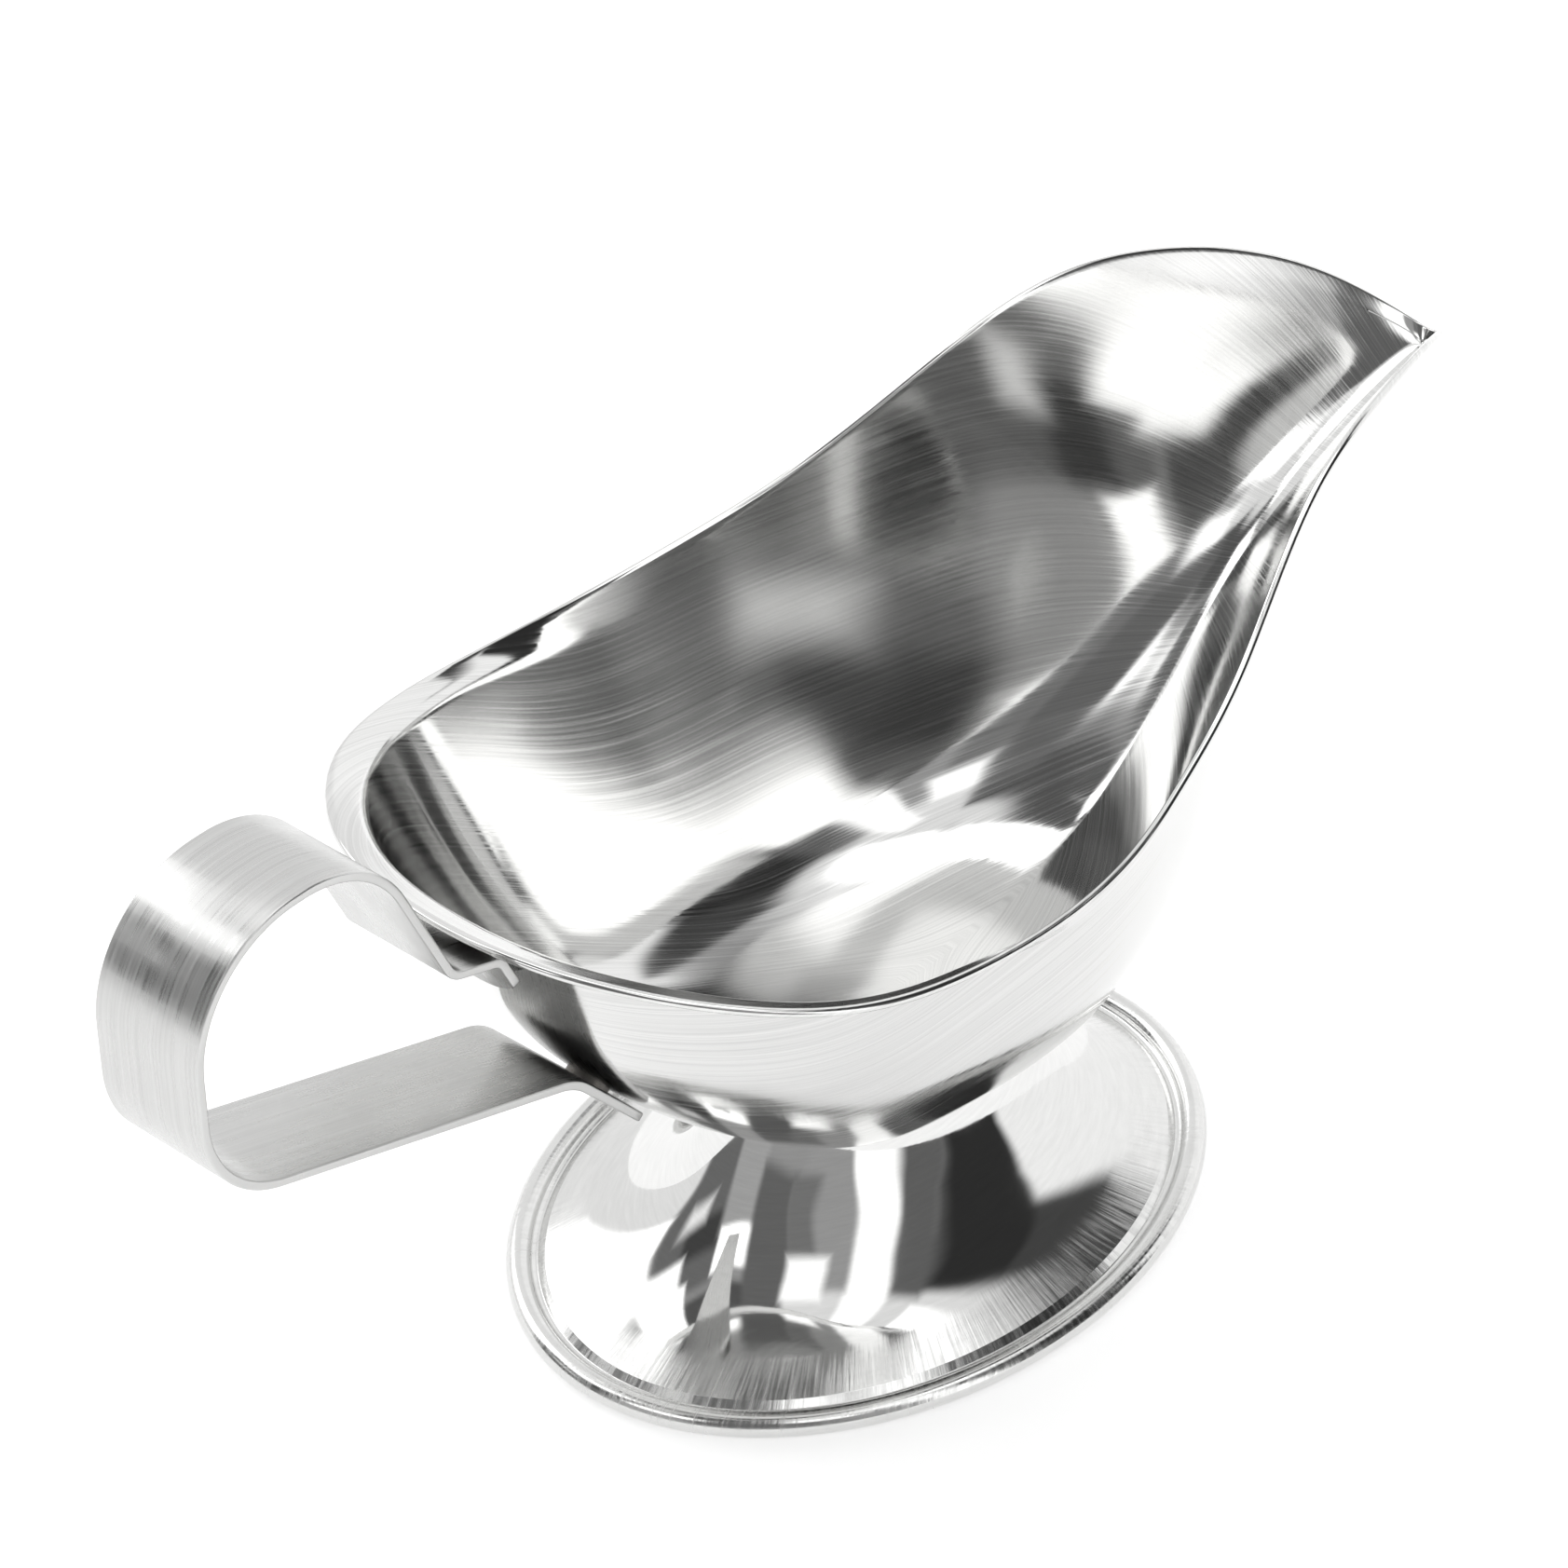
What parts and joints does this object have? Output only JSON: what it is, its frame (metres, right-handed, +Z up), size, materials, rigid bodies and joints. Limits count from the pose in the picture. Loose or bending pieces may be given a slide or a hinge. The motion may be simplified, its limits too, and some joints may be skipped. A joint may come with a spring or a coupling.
{
  "type": "sauce boat",
  "caption": "Polished stainless steel sauce boat with a drawn-out pouring spout, an oval flared foot with a rolled bead, and a looped flat strap handle.",
  "frame": {"origin": "middle of the foot, on the table it stands on", "axes": "+X towards the pouring spout, +Y to the side, +Z up"},
  "size_m": [0.1956, 0.0772, 0.0959],
  "materials": {
    "polished_sheet": "polished stainless steel, fine lengthwise brushing inside",
    "foot_sheet": "polished stainless steel, finely brushed flat ring at the edge",
    "brushed_strap": "satin stainless steel, brushed along the strap",
    "weld_metal": "dull fused steel of a spot weld"
  },
  "bodies": {
    "root": {"bowl": "polished_sheet", "foot": "foot_sheet", "handle": "brushed_strap", "upper_weld": "weld_metal", "lower_weld": "weld_metal", "foot_weld": "weld_metal"}
  },
  "joints": []
}
